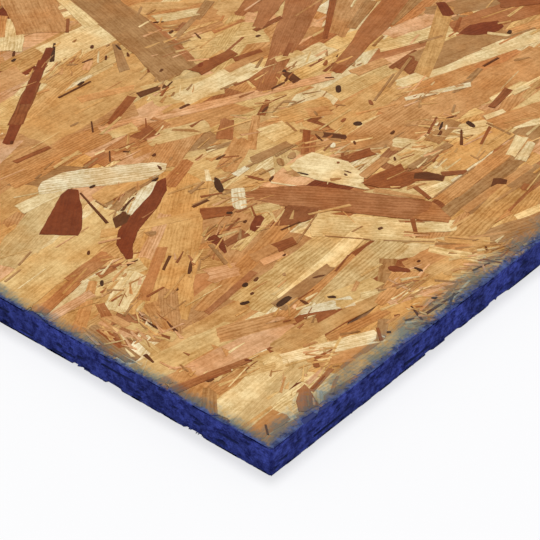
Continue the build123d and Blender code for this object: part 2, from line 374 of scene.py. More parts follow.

# Small dark chips, bark, dark specks painted for the shade in gaps and along joints between strands, and thin
# pale or dark slivers, set the same way
SPECKS_AND_SHADE_LINES = [
    ("bark", 88, 71, 99.5, 71, 4.6, 4.4), ("bark", 77, 86.5, 82, 84.5, 2.6, 2.4),
    ("bark", 89.5, 95, 93.5, 96.5, 3, 3), ("dark", 87, 88, 89.5, 88, 2, 1.8),
    ("dark", 100, 59.5, 100.3, 65.5, 2.2, 1.8), ("bark", 111.5, 56, 114.5, 52.5, 2, 2.6),
    ("dark", 119, 72.5, 126, 69, 2.4, 1.8), ("rust", 132, 67, 148, 71, 1.4, 1),
    ("dark", 97, 94, 101, 95, 2, 2), ("dark", 124, 97, 127, 97.5, 1.8, 1.6),
    ("umber", 111, 85, 113, 87, 2, 2), ("red", 152.5, 47.5, 158.5, 37, 6.5, 4),
    ("bark", 162, 37.5, 162.5, 31.5, 2, 2.2), ("dark", 167, 39, 169.5, 39, 2, 1.8),
    ("umber", 153.4, 92, 167, 71, 1, 1.2), ("umber", 171, 65, 188, 43, 1, 1.1),
    ("dark", 177, 73.5, 180.5, 73, 2.2, 2), ("umber", 166, 83, 174, 82, 1.2, 1),
    ("red", 43, 54.8, 45.5, 51, 2, 2), ("sienna", 1, 66, 45, 53, 6, 4.2),
    ("rust", 4, 64, 33, 54, 2, 2.2), ("white", 29, 55, 34, 54, 1.5, 1.2),
    ("dark", 18, 58, 22, 56.5, 2.4, 2), ("umber", 18, 70, 19.5, 77, 1.6, 1.4),
    ("dark", 7, 8, 12, 14, 1.2, 1), ("rust", 62.5, 23, 67, 27.5, 3.6, 3),
    ("umber", 91, 31, 100, 25, 2.2, 1), ("rust", 101, 12, 108, 20, 2, 1.6),
    ("bark", 108, 14, 110, 12.5, 1.8, 1.8), ("rust", 48, 14, 60, 16, 1.6, 1.2),
    ("umber", 4, 72, 7, 70, 2, 1.4), ("rust", 80, 60, 84, 58, 1.2, 1.2),
    ("dark", 122, 13, 127, 10, 1.6, 1.2), ("dark", 128, 6, 134, 18, 1.6, 1),
    ("pink", 134, 12, 146, 13, 1.6, 2.4), ("bark", 146, 14, 149, 12, 2, 1.6),
    ("dark", 134, 8, 160, 6, 2, 1.4), ("umber", 150, 9, 168, 12, 2.4, 2),
    ("cream", 152, 5, 172, 8, 1.8, 1.4), ("bark", 148, 3.5, 158, 7.5, 1.6, 1.4),
    ("umber", 160, 22, 168, 10, 2, 1.6), ("dark", 180, 12, 192, 9, 1.4, 1.2),
    ("pink", 183, 6, 188, 11, 2, 1.6), ("dark", 200, 17, 203, 20, 1.6, 1.4),
    ("umber", 196, 40, 204, 27, 1, 1), ("rust", 192, 14, 196, 4, 1.6, 1.2),
    ("bark", 41.5, 152.5, 45.3, 156, 2.2, 2), ("umber", 40.5, 148, 46.3, 141, 1.6, 1.4),
    ("dark", 73, 137.5, 85, 143.5, 1.6, 1.8), ("rust", 50, 128, 62, 127, 1.8, 1.4),
    ("umber", 57, 122, 63, 122.5, 1.8, 1.4), ("dark", 64, 120, 66, 120.5, 1.8, 1.6),
    ("dark", 57, 177.5, 60, 180, 1.8, 1.4), ("umber", 26, 199, 39, 203, 1.4, 1.2),
    ("umber", 11, 194, 24, 195.5, 1.6, 1.2), ("sienna", 52, 164, 60, 160, 1.6, 1.4),
    ("umber", 30, 126, 40, 129, 1.6, 1.2), ("cream", 37, 123, 46, 126, 3, 2.4),
    ("dark", 85, 190, 96.5, 222, 2, 1.2), ("dark", 95, 187, 99, 191, 3, 3),
    ("bark", 131, 199.2, 136, 199.2, 2.4, 1.8), ("dark", 143, 203, 145, 208, 2, 1.6),
    ("umber", 153, 206, 157, 207.5, 1.8, 1.6), ("dark", 150, 216, 153.5, 217.5, 2.6, 2),
    ("bark", 103.5, 221.5, 107.5, 221, 2.4, 2), ("umber", 96, 201, 96.5, 210, 1.6, 1.2),
    ("dark", 130, 231, 138, 239, 1.2, 1), ("dark", 142.5, 233, 144.5, 229.5, 2, 1.8),
    ("rust", 170, 240, 177, 247, 1.2, 0.9), ("umber", 116, 238, 128, 239, 2.4, 1.6),
    ("umber", 142, 274.5, 148.5, 274, 2, 1.6), ("umber", 90, 251, 96, 252, 1.8, 1.4),
    ("umber", 100, 254, 110, 256, 1.2, 1), ("dark", 106, 287, 109, 289, 2, 2),
    ("dark", 146, 260, 154, 269, 1.2, 1), ("umber", 154, 261, 162, 262, 1.8, 1.4),
    ("bark", 148, 162, 157, 174.5, 4.4, 3.8), ("umber", 136, 175, 150, 177, 2.2, 1.8),
    ("dark", 127, 165, 138, 163, 2, 1.8), ("bark", 134.5, 147, 137.5, 144.5, 2.8, 2.4),
    ("dark", 134, 133.5, 137, 134, 2, 1.6), ("rust", 143, 133, 149, 141, 1.6, 1.2),
    ("bark", 191.3, 143, 193.6, 136, 1.8, 2), ("dark", 171, 186.5, 179, 186, 2, 1.8),
    ("umber", 175, 198, 184, 192, 2, 1.6), ("rust", 170, 163, 173, 152, 2.4, 2.4),
    ("dark", 174, 149, 180, 151, 2, 1.6), ("umber", 176, 158, 186, 156, 1.6, 1.2),
    ("umber", 196, 163, 213, 162, 1.6, 1.4), ("umber", 191, 154, 196, 160, 4, 4),
    ("umber", 200, 155, 206, 158, 5, 4), ("dark", 207, 119, 207.6, 122, 2, 1.8),
    ("dark", 210, 124, 210.8, 119, 1.6, 1.6), ("umber", 197, 124, 203, 120, 4, 3),
    ("rust", 213, 131, 215.5, 132, 2, 2), ("dark", 235.5, 136, 238, 139, 1.6, 1.6),
    ("rust", 221, 134, 224, 136, 2, 1.8), ("dark", 257.5, 127, 262, 128, 2.2, 2),
    ("umber", 244, 121, 247, 122.5, 1.8, 1.6), ("bark", 251.5, 149.5, 256.5, 148.5, 4.4, 4.6),
    ("rust", 275.5, 155, 279, 160, 2.6, 2.2), ("rust", 249, 157, 254, 158, 2.4, 2),
    ("umber", 280, 157, 312, 167, 1.6, 1.4), ("dark", 226, 153, 229, 161, 1.8, 1.6),
    ("white", 224, 144, 229, 146.5, 3, 2.4), ("dark", 237, 108, 240, 111, 1.6, 1.4),
    ("umber", 234, 96, 244, 94, 1.2, 1), ("umber", 222, 69, 262, 70, 1.2, 1.2),
    ("rust", 250, 91, 258, 93, 1.4, 1.2), ("dark", 275, 89, 288.5, 99, 2, 1.2),
    ("rust", 283, 81, 302, 88, 1.6, 2), ("bark", 295, 94, 298, 102, 3.6, 3.8),
    ("dark", 273.5, 104.5, 280, 107, 2.6, 2.4), ("bark", 279, 108, 288, 112, 2, 1.6),
    ("white", 282, 105.5, 287, 108.5, 1.4, 1.4), ("white", 282, 113, 286, 114, 1.8, 1.4),
    ("umber", 268, 104, 270, 112, 2.2, 2), ("rust", 272, 111, 290, 118, 1.8, 1.4),
    ("dark", 292, 113, 299, 110, 1.8, 1.4), ("umber", 300, 114, 308, 118, 1.6, 1.4),
    ("umber", 303, 74, 304, 92, 2, 1.6), ("umber", 269, 72, 270, 79, 1.4, 1.2),
    ("bark", 273.5, 179, 280, 184.5, 3.8, 3.6), ("dark", 281, 196, 285, 192, 1.8, 1.8),
    ("bark", 269.5, 218.5, 273, 220.5, 3, 2), ("dark", 250, 212, 262, 211, 2, 2.4),
    ("dark", 262, 211, 268, 214, 2, 1.6), ("umber", 263, 235, 275, 240, 2, 1.4),
    ("red", 241, 262, 246, 264, 3.2, 3), ("umber", 232, 195, 245, 198, 1.2, 1),
    ("dark", 226, 199, 234, 201, 1.8, 2), ("umber", 244, 198, 249, 192, 2.6, 2.2),
    ("umber", 224, 171, 228, 182, 2, 1.2), ("umber", 245, 172, 248, 177, 1.8, 1.8),
    ("umber", 262, 172, 265, 166, 1.6, 1.2), ("dark", 291, 259.5, 294.5, 258.5, 2.4, 2.2),
    ("dark", 198, 239, 206, 238, 2.6, 2.4), ("umber", 230, 235, 243, 233, 1.6, 1.4),
    ("rust", 201, 257, 212, 261, 1.8, 1.6), ("dark", 210, 261, 218, 263, 1.4, 1),
    ("umber", 205, 252, 210, 254, 2, 1.4), ("rust", 292, 205, 298, 208, 3, 2),
    ("sienna", 296, 230, 304, 228, 6, 2), ("dark", 221, 276, 225, 277.5, 2, 2.2),
    ("dark", 210, 311, 214, 314.5, 1.6, 1.6), ("bark", 224.5, 312, 227, 319, 2, 1.4),
    ("dark", 222, 303, 225, 307, 1.6, 1.4), ("bark", 177.5, 303, 183.5, 303.5, 2.4, 2),
    ("dark", 160, 302, 186, 300.5, 1.6, 1.4), ("dark", 214, 327, 217.5, 329.5, 2.4, 2),
    ("umber", 190, 325, 195, 320, 1.8, 1.6), ("dark", 198, 319.5, 206, 318, 1.8, 1.8),
    ("umber", 254, 314, 256.5, 321, 2, 1.8), ("umber", 246, 306, 252, 309, 1.8, 1.4),
    ("dark", 262, 320, 267.5, 315.5, 1.8, 1.6), ("dark", 259, 303, 263.5, 304, 2.4, 2),
    ("umber", 267, 330, 276, 330, 2, 1.4), ("umber", 262, 333, 272, 339, 1.8, 1.4),
    ("dark", 267, 284, 270, 292, 1.8, 1.4), ("umber", 222, 322, 225, 322, 1.8, 1.6),
    ("rust", 218, 352, 231, 364, 2.4, 2), ("dark", 176, 357, 181, 361, 2, 1.8),
    ("bark", 171, 353, 175, 354, 2.4, 2), ("umber", 212, 341, 216, 342, 1.8, 1.6),
    ("dark", 355, 131, 369, 130, 1.8, 1.8), ("umber", 330, 197, 344, 200, 2.2, 1.8),
    ("umber", 352, 178, 368, 172, 2.4, 1.8), ("umber", 298, 160, 334, 171, 1.8, 2),
    ("umber", 372, 121, 382, 116, 3, 2), ("dark", 142, 113.5, 155, 110.5, 1.4, 1.2),
    ("umber", 138, 99, 167, 108.5, 1.1, 1), ("umber", 92.5, 166, 96.5, 164, 3.4, 3),
    ("bark", 397, 142, 401.5, 144, 3, 2.6), ("umber", 36, 6.5, 44, 14, 1.4, 1),
    ("cream", 33, 14, 41, 17.5, 2, 1.4), ("pink", 38.5, 5, 43, 9.5, 1.6, 1.2),
]


class SawnOutline:
    """The sheet's four sides as the solid has them: how far the torn ends stand back along each."""

    def __init__(self):
        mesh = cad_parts["osb_panel"].data
        points = [vertex.co.copy() for vertex in mesh.vertices]
        faces = [tuple(polygon.vertices) for polygon in mesh.polygons]
        self.tree = BVHTree.FromPolygons(points, faces)
        low, high = sheet_low, sheet_high
        self.sides = [
            (Vector((low.x, low.y, 0)), Vector((1, 0, 0)), Vector((0, 1, 0)), high.x - low.x),
            (Vector((high.x, low.y, 0)), Vector((0, 1, 0)), Vector((-1, 0, 0)), high.y - low.y),
            (Vector((high.x, high.y, 0)), Vector((-1, 0, 0)), Vector((0, -1, 0)), high.x - low.x),
            (Vector((low.x, high.y, 0)), Vector((0, -1, 0)), Vector((1, 0, 0)), high.y - low.y),
        ]

    def solid_depth(self, side, along, z):
        """How far in the solid's own surface lies at a point of one side."""
        corner, way, inward, length = self.sides[side]
        along = min(max(along, saw_clearance), length - saw_clearance)
        start = corner + way * along - inward * saw_probe
        start.z = min(max(z, sheet_low.z + saw_clearance), sheet_high.z - saw_clearance)
        _, _, _, distance = self.tree.ray_cast(start, inward, saw_reach)
        return max(0.0, distance - saw_probe) if distance is not None else 0.0

    def fray(self, side, along, face):
        """How far the strands' sawn ends stand back on one face: the solid's depth and some tearing."""
        z = sheet_high.z - fray_level if face > 0 else sheet_low.z + fray_level
        most = face_fray if face > 0 else underside_fray
        seed = side * 37.0 + face * 11.0
        coarse = noise.noise(Vector((along / coarse_tear, seed, 0.3)))
        fine = noise.noise(Vector((along / fine_tear, seed, 9.1)))
        near_end = min(along, self.sides[side][3] - along) / fray_fade
        torn = max(0.0, coarse * 1.5 + fine * 0.6 - fray_start) * most * min(1.0, max(0.0, near_end))
        return self.solid_depth(side, along, z) + torn

    def side_of(self, start, end):
        """The side that a piece of an outline lies on, if any."""
        for index, (corner, _, inward, _) in enumerate(self.sides):
            first = (Vector((*start, 0)) - corner).dot(inward)
            second = (Vector((*end, 0)) - corner).dot(inward)
            if abs(first) < on_side and abs(second) < on_side:
                return index
        return None

    def torn(self, outline, face):
        """An outline whose sawn stretches follow the torn line."""
        result = []
        count = len(outline)
        for index, start in enumerate(outline):
            end = outline[(index + 1) % count]
            side = self.side_of(start, end)
            if side is None:
                result.append(start)
                continue
            corner, way, inward, _ = self.sides[side]
            near = math.dist(start, near_corner) < studied_reach
            gap = math.dist(start, end)
            steps = max(1, round(gap / saw_step[0 if near else 1]))
            for step in range(steps + 1):
                share = step / steps
                place = Vector((*start, 0)).lerp(Vector((*end, 0)), share)
                back = self.fray(side, (place - corner).dot(way), face)
                place += inward * back
                result.append((place.x, place.y))
        return result


saw = SawnOutline()


def new_piece(name, points, faces, maps=(), tones=(), rims=()):
    """A mesh object, with its maps, the colour of each face corner and the rim value of each point."""
    mesh = bpy.data.meshes.new(name)
    mesh.from_pydata(points, [], faces)
    for map_name, places in maps:
        layer = mesh.uv_layers.new(name=map_name)
        layer.data.foreach_set("uv", [value for place in places for value in place])
    if tones:
        layer = mesh.color_attributes.new("tone", "FLOAT_COLOR", "CORNER")
        layer.data.foreach_set("color", [value for tone in tones for value in tone])
    if rims:
        layer = mesh.attributes.new("rim", "FLOAT", "POINT")
        layer.data.foreach_set("value", rims)
    mesh.update()
    piece = bpy.data.objects.new(name, mesh)
    bpy.context.collection.objects.link(piece)
    return piece


class StrandMesh:
    """One joined mesh of many thin strands, with a colour, a grain map and a rim value for the shader."""

    def __init__(self, seed, side, low, high):
        self.rng = random.Random(seed)
        self.side = side
        self.low = low
        self.high = high
        self.strands = []

    def add_strand(self, outline, middle, turn, level, tone, tilt, rim=rim_width):
        """A flat strand: its outline in the sheet's plane, its turn and its level under the face."""
        self.strands.append((level, outline, middle, turn, tone, tilt, rim))

    def bake_place(self, point, middle):
        """Where a point falls on the map that finishes are baked to: stretches of the lane, stacked."""
        length = (sheet_high.x - sheet_low.x) / bake_stretches
        index = min(bake_stretches - 1, max(0, int((middle[0] - sheet_low.x) / length)))
        size = length + 2 * bake_margin
        band = (self.high - self.low) + 2 * bake_margin
        east = point[0] - (sheet_low.x + index * length) + bake_margin
        north = point[1] - self.low + bake_margin
        east = min(max(east, 0.0), size)
        north = min(max(north, 0.0), band)
        return (east / size, (north + index * band) / size)

    def build(self, name):
        self.points, self.faces, self.grain, self.bake, self.tones, self.rims = [], [], [], [], [], []
        for strand in sorted(self.strands, key=lambda entry: -entry[0]):
            self.emit(*strand)
        maps = (("grain", self.grain), ("OFBake", self.bake))
        return new_piece(name, self.points, self.faces, maps, self.tones, self.rims)

    def emit(self, level, outline, middle, turn, tone, tilt, rim_size):
        side = self.side
        face_z = sheet_high.z if side > 0 else sheet_low.z
        start = len(self.points)
        count = len(outline)
        cosine, sine = math.cos(turn), math.sin(turn)
        shift = [self.rng.uniform(-grain_shift, grain_shift) for _ in range(2)]
        stretch = self.rng.uniform(*grain_stretch)
        inner = [
            (min(max(x, sheet_low.x), sheet_high.x), min(max(y, sheet_low.y), sheet_high.y))
            for x, y in inset(outline, rim_size or bare_inset)
        ]

        def height(point, drop):
            lean = (point[0] - middle[0]) * tilt[0] + (point[1] - middle[1]) * tilt[1]
            return face_z - side * (max(0.0, level + lean) + drop)

        def along_grain(point, extra=0.0):
            east, north = point[0] - middle[0], point[1] - middle[1]
            length = (east * cosine + north * sine) * grain_scale + shift[0]
            width = ((north * cosine - east * sine) + extra) * grain_scale * stretch + shift[1]
            return (length, width)

        top = inner if rim_size else outline
        rings = [(outline, strand_thickness, 1.0, inner, strand_thickness)]
        if rim_size:
            rings.append((outline, rim_drop, 1.0, outline, 0.0))
        rings.append((top, 0.0, 0.0, top, 0.0))
        grain, bake = [], []
        for ring, drop, value, bake_ring, extra in rings:
            self.points += [(x, y, height((x, y), drop)) for x, y in ring]
            self.rims += [value] * count
            grain += [along_grain(point, extra) for point in ring]
            bake += [self.bake_place(point, middle) for point in bake_ring]
        loops = []
        for ring in range(len(rings) - 1):
            outer, nearer = ring * count, (ring + 1) * count
            for index in range(count):
                after = (index + 1) % count
                loops.append([outer + index, outer + after, nearer + after, nearer + index])
        last = (len(rings) - 1) * count
        loops.append([last + index for index in range(count)])
        for loop in loops:
            loop = loop if side > 0 else loop[::-1]
            self.faces.append([start + index for index in loop])
            self.grain += [grain[index] for index in loop]
            self.bake += [bake[index] for index in loop]
            self.tones += [tone] * len(loop)


def inset(outline, distance):
    """The outline moved inward by a distance, square to its sides."""
    count = len(outline)
    result = []
    for index, (x, y) in enumerate(outline):
        before, after = outline[index - 1], outline[(index + 1) % count]
        first = Vector((x - before[0], y - before[1]))
        second = Vector((after[0] - x, after[1] - y))
        if first.length < 1e-7 or second.length < 1e-7:
            result.append((x, y))
            continue
        first.normalize()
        second.normalize()
        inward = Vector((-first.y - second.y, first.x + second.x))
        share = max(0.6, 0.5 * inward.length_squared)
        result.append((x + inward.x * distance / share / 2, y + inward.y * distance / share / 2))
    return result


def cut(outline, origin, normal):
    """The part of an outline on the side of a line that its normal points to."""
    result = []
    count = len(outline)
    for index, point in enumerate(outline):
        after = outline[(index + 1) % count]
        here = (point[0] - origin[0]) * normal[0] + (point[1] - origin[1]) * normal[1]
        there = (after[0] - origin[0]) * normal[0] + (after[1] - origin[1]) * normal[1]
        if here >= 0:
            result.append(point)
        if (here >= 0) != (there >= 0):
            share = here / (here - there)
            result.append(tuple(value + (later - value) * share for value, later in zip(point, after)))
    return result


def thinned(outline, least=least_gap):
    """The outline without points that lie nearly on the one before."""
    result = []
    for point in outline:
        if not result or math.dist(point, result[-1]) > least:
            result.append(point)
    while len(result) > 2 and math.dist(result[0], result[-1]) <= least:
        result.pop()
    return result


def sawn(rng, outline, face, share_torn=torn_share):
    """The outline cut off at the sheet's sides along the torn line, some ends torn further back."""
    crossed = False
    for corner, _, inward, _ in saw.sides:
        nearest = min((px - corner.x) * inward.x + (py - corner.y) * inward.y for px, py in outline)
        if nearest > 0:
            continue
        crossed = True
        outline = cut(outline, (corner.x, corner.y), (inward.x, inward.y))
        if len(outline) < 3:
            return []
        if rng.random() < share_torn:
            back = rng.uniform(*torn_back_mm) * MM
            swing = math.radians(rng.uniform(-torn_swing, torn_swing))
            centre = Vector((sum(p[0] for p in outline), sum(p[1] for p in outline))) / len(outline)
            gap = (centre.x - corner.x) * inward.x + (centre.y - corner.y) * inward.y
            origin = (centre.x + inward.x * (back - gap), centre.y + inward.y * (back - gap))
            turned = (
                inward.x * math.cos(swing) - inward.y * math.sin(swing),
                inward.x * math.sin(swing) + inward.y * math.cos(swing),
            )
            outline = cut(outline, origin, turned)
        if len(outline) < 3:
            return []
    if not crossed:
        return thinned(outline)
    outline = thinned(saw.torn(thinned(outline), face))
    return outline if len(outline) > 2 else []


def torn_end(rng, middle, way, across, width, slant, teeth):
    """The points of a strand's end, from its right to its left: slanted and split into a few teeth."""
    points = []
    for index in range(teeth + 1):
        share = index / teeth - 0.5
        jag = rng.uniform(-0.5, 0.5) * min(tooth_size, 0.35 * width)
        if index in (0, teeth):
            jag *= 0.6
        place = middle + across * share * width + way * (slant * share * width + jag)
        points.append((place.x, place.y))
    return points


def strand_outline(rng, start, end, widths, bow=0.0, stations=3, raggedness=0.06, teeth=2, slant=0.5):
    """A strand's outline: two long sides that wander a little, and torn ends."""
    way = Vector(end) - Vector(start)
    length = max(way.length, 1e-6)
    way /= length
    across = Vector((-way.y, way.x))
    slants = [rng.uniform(-slant, slant) for _ in range(2)]
    left, right = [], []
    for index in range(1, stations):
        share = (index + rng.uniform(-0.25, 0.25)) / stations
        width = widths[0] + (widths[1] - widths[0]) * share
        middle = Vector(start) + way * length * share + across * bow * 4 * share * (1 - share)
        for points, sign in ((left, 1), (right, -1)):
            place = middle + across * width / 2 * (1 + rng.uniform(-raggedness, raggedness)) * sign
            points.append((place.x, place.y))
    far = torn_end(rng, Vector(end), way, across, widths[1], slants[0], teeth)
    near = torn_end(rng, Vector(start), way, across, widths[0], slants[1], teeth)
    return thinned(right + far + left[::-1] + near[::-1])


def chip_outline(rng, start, end, widths):
    """A small rounded chip or gap."""
    way = Vector(end) - Vector(start)
    across = Vector((-way.y, way.x)).normalized()
    middle = (Vector(start) + Vector(end)) / 2
    points = []
    for index in range(chip_points):
        angle = math.tau * index / chip_points + rng.uniform(-0.15, 0.15)
        reach = chip_reach * rng.uniform(0.88, 1.08)
        along = math.copysign(abs(math.cos(angle)) ** chip_squareness, math.cos(angle)) * reach
        aside = math.copysign(abs(math.sin(angle)) ** chip_squareness, math.sin(angle)) * reach
        place = middle + way * along + across * widths[0 if along < 0 else 1] * aside
        points.append((place.x, place.y))
    return thinned(points, chip_gap)


def tilt_of(rng, length, most=most_lean):
    """A slight lean of a strand, so that its ends differ in height by no more than a hair."""
    slope = 2 * most / max(length, 10 * MM)
    return (rng.uniform(-slope, slope), rng.uniform(-slope, slope))


def add_random_strand(mesh, middle, turn, length, width, level, tone, stations=3, teeth=2, rim=rim_width):
    rng = mesh.rng
    half = Vector((math.cos(turn), math.sin(turn))) * length / 2
    start = (middle[0] - half.x, middle[1] - half.y)
    end = (middle[0] + half.x, middle[1] + half.y)
    taper = rng.uniform(0.7, 1.0)
    widths = (width, width * taper) if rng.random() < 0.5 else (width * taper, width)
    outline = strand_outline(
        rng, start, end, widths, bow=rng.uniform(-0.02, 0.02) * length, stations=stations, teeth=teeth
    )
    outline = sawn(rng, outline, mesh.side)
    if len(outline) > 2:
        mesh.add_strand(outline, middle, turn, level, tone, tilt_of(rng, length), rim)


def lie(rng):
    """How far a strand turns from the sheet's length: most a little, a few a lot."""
    spread = lie_spread if rng.random() < usual_lie_share else 3 * lie_spread
    return math.radians(max(-90.0, min(90.0, rng.gauss(0, spread))))


def lane_bounds(lanes, index):
    """The stretch of the sheet's width that one joined mesh covers."""
    width = (sheet_high.y - sheet_low.y) / lanes
    return sheet_low.y + index * width, sheet_low.y + (index + 1) * width


def fill_layer(mesh, lengths, widths, levels, rim):
    """A layer of strands laid end to end in staggered rows, so that little shows between them."""
    rng = mesh.rng
    rows = max(1, round((mesh.high - mesh.low) / (row_cover * sum(widths))))
    pitch = (mesh.high - mesh.low) / rows
    for row in range(rows):
        y = mesh.low + (row + rng.uniform(0.25, 0.75)) * pitch
        x = sheet_low.x - rng.uniform(0, 1) * lengths[0]
        while x < sheet_high.x + lengths[0] / 4:
            length = rng.uniform(*lengths)
            width = rng.uniform(*widths)
            middle = (x + length / 2, y + rng.uniform(-0.2, 0.2) * width)
            tone = shaded(rng, pick_tone(rng, MAT_TONES))
            turn = lie(rng) * mat_lie
            level = rng.uniform(*levels)
            add_random_strand(mesh, middle, turn, length, width, level, tone, 2, 2, rim)
            x += length * rng.uniform(*end_lap)


def scatter(mesh, density, lengths, widths, levels, tones, rim, spread=0.12):
    """Single strands or slivers strewn over the mat, at so many a square metre."""
    rng = mesh.rng
    count = round(density * (mesh.high - mesh.low) * (sheet_high.x - sheet_low.x))
    for _ in range(count):
        middle = (rng.uniform(sheet_low.x, sheet_high.x), rng.uniform(mesh.low, mesh.high))
        length = rng.uniform(*lengths)
        width = rng.uniform(*widths)
        studied = math.dist(middle, near_corner) < studied_reach
        tone = shaded(rng, pick_tone(rng, SOFT_TONES if studied and not rim else tones), spread)
        stations = 2 if rim else 1
        if studied and rng.random() < (left_out_narrow if rim else left_out_slivers):
            continue
        add_random_strand(mesh, middle, lie(rng), length, width, rng.uniform(*levels), tone, stations, 1, rim)


def place_by_hand(mesh, entries, levels, most_chip=0.0):
    """The listed strands and specks whose middle lies in this lane."""
    rng = mesh.rng
    for order, entry in enumerate(entries):
        name, start_x, start_y, end_x, end_y, start_width, end_width = entry[:7]
        bow = entry[7] * MM if len(entry) > 7 else 0.0
        start = near_corner + Vector((start_x, start_y)) * MM
        end = near_corner + Vector((end_x, end_y)) * MM
        widths = (start_width * MM, end_width * MM)
        middle = (start + end) / 2
        if not mesh.low <= middle.y < mesh.high:
            continue
        way = end - start
        broad = sum(widths) / 2
        if way.length < most_chip and way.length < chip_most_ratio * broad:
            outline = chip_outline(rng, start, end, widths)
        else:
            stations = max(2, min(most_stations, round(way.length / station_gap)))
            teeth = max(1, min(most_teeth, round(broad / tooth_size)))
            outline = strand_outline(rng, start, end, widths, bow, stations, 0.1, teeth, 0.2)
        outline = sawn(rng, outline, mesh.side, 0.0)
        if len(outline) < 3:
            continue
        level = levels[1] + (levels[0] - levels[1]) * order / len(entries)
        tilt = tilt_of(rng, way.length, placed_lean)
        turn = math.atan2(way.y, way.x)
        rim = min(rim_width, 0.2 * broad)
        mesh.add_strand(outline, middle, turn, level, shaded(rng, name, 0.06), tilt, rim)


def place_shapes(mesh, level):
    """The oddly shaped strands of the near corner, their sides roughened a little."""
    rng = mesh.rng
    for order, (name, degrees, corners) in enumerate(SHAPES):
        points = [near_corner + Vector(corner) * MM for corner in corners]
        middle = sum(points, Vector((0, 0))) / len(points)
        if not mesh.low <= middle.y < mesh.high:
            continue
        outline = []
        for index, point in enumerate(points):
            after = points[(index + 1) % len(points)]
            steps = max(1, round((after - point).length / shape_step))
            for step in range(steps):
                place = point.lerp(after, step / steps)
                rough = 0.0 if step == 0 else shape_roughness
                outline.append((place.x + rng.uniform(-rough, rough), place.y + rng.uniform(-rough, rough)))
        tone = shaded(rng, name, 0.05)
        height = level - order * shape_rise_mm * MM
        mesh.add_strand(outline, middle, math.radians(degrees), height, tone, (0.0, 0.0))


def add_tangles(mesh):
    """Knots of fine splinters round the near corner, which taper and lie nearly side by side."""
    rng = mesh.rng
    for x, y, reach, count, degrees in TANGLES:
        middle = near_corner + Vector((x, y)) * MM
        if not mesh.low <= middle.y < mesh.high:
            continue
        for _ in range(count):
            offset = [rng.gauss(0, 0.5) * reach * MM for _ in range(2)]
            place = Vector((middle.x + offset[0], middle.y + offset[1]))
            turn = math.radians(rng.gauss(degrees, splinter_spread))
            half = Vector((math.cos(turn), math.sin(turn))) * rng.uniform(*splinter_length) / 2
            width = rng.uniform(*splinter_width)
            widths = (width, width * rng.uniform(0.15, 0.6))
            bow = rng.uniform(-0.06, 0.06) * half.length
            outline = strand_outline(rng, place - half, place + half, widths, bow, 3, 0.15, 1)
            outline = sawn(rng, outline, mesh.side, 0.0)
            if len(outline) < 3:
                continue
            tone = shaded(rng, pick_tone(rng, TANGLE_TONES), 0.12)
            level = rng.uniform(*splinter_levels)
            mesh.add_strand(outline, place, turn, level, tone, (0.0, 0.0), 0.0)


class Shader:
    """A material's node tree, with short calls for the nodes used here."""

    def __init__(self, name):
        self.material = bpy.data.materials.new(name)
        self.material.use_nodes = True
        self.tree = self.material.node_tree
        self.tree.nodes.clear()

    def node(self, kind, settings=None, **inputs):
        node = self.tree.nodes.new(kind)
        for key, value in (settings or {}).items():
            setattr(node, key, value)
        for key, value in inputs.items():
            socket = node.inputs[int(key[1:])] if key[1:].isdigit() else node.inputs[key.replace("_", " ")]
            if isinstance(value, bpy.types.NodeSocket):
                self.tree.links.new(value, socket)
            else:
                socket.default_value = value
        return node

    def math(self, operation, first, second=0.0, clamp=False):
        settings = {"operation": operation, "use_clamp": clamp}
        return self.node("ShaderNodeMath", settings, i0=first, i1=second).outputs[0]

    def mix(self, share, first, second, blend="MIX"):
        settings = {"data_type": "RGBA", "blend_type": blend}
        return self.node("ShaderNodeMix", settings, i0=share, i6=first, i7=second).outputs[2]

    def multiply(self, first, second):
        return self.mix(1.0, first, second, "MULTIPLY")

    def remap(self, value, low, high, to_low=0.0, to_high=1.0):
        node = self.node("ShaderNodeMapRange", None, i0=value, i1=low, i2=high, i3=to_low, i4=to_high)
        return node.outputs[0]

    def noise(self, vector, scale, stretch=(1, 1, 1), detail=3.0, roughness=0.55):
        stretched = self.node("ShaderNodeVectorMath", {"operation": "MULTIPLY"}, i0=vector, i1=stretch)
        inputs = {"Vector": stretched.outputs[0], "Scale": scale, "Detail": detail, "Roughness": roughness}
        return self.node("ShaderNodeTexNoise", None, **inputs).outputs[0]

    def weighted(self, *terms):
        """A sum of values, each with its weight."""
        total = None
        for value, weight in terms:
            part = self.math("MULTIPLY", value, weight)
            total = part if total is None else self.math("ADD", total, part)
        return total

    def finish(self, colour, roughness, height, strength, distance, shine=0.2):
        bump = self.node("ShaderNodeBump", None, Height=height, Strength=strength, Distance=distance)
        surface = self.node(
            "ShaderNodeBsdfPrincipled", None, Base_Color=colour, Roughness=roughness,
            Specular_IOR_Level=shine, Normal=bump.outputs[0],
        )
        self.node("ShaderNodeOutputMaterial", None, Surface=surface.outputs[0])
        return self.material


def linear(red, green, blue):
    return (*to_linear((red, green, blue)), 1.0)


def drift_of_sealer(shader, place):
    """How near a point is to the sawn sides, from 1 there to 0 where the dust of the sealer ends."""
    parts = shader.node("ShaderNodeSeparateXYZ", None, i0=place)
    reach = []
    for axis, low, high, drift in (
        (0, sheet_low.x, sheet_high.x, drift_on_short_sides),
        (1, sheet_low.y, sheet_high.y, drift_on_long_sides),
    ):
        half, middle = (high - low) / 2, (high + low) / 2
        offset = shader.math("ABSOLUTE", shader.math("SUBTRACT", parts.outputs[axis], middle))
        inside = shader.math("SUBTRACT", half, offset)
        reach.append(shader.remap(inside, 0.0, drift, 1.0, 0.0))
    return shader.math("MAXIMUM", reach[0], reach[1])


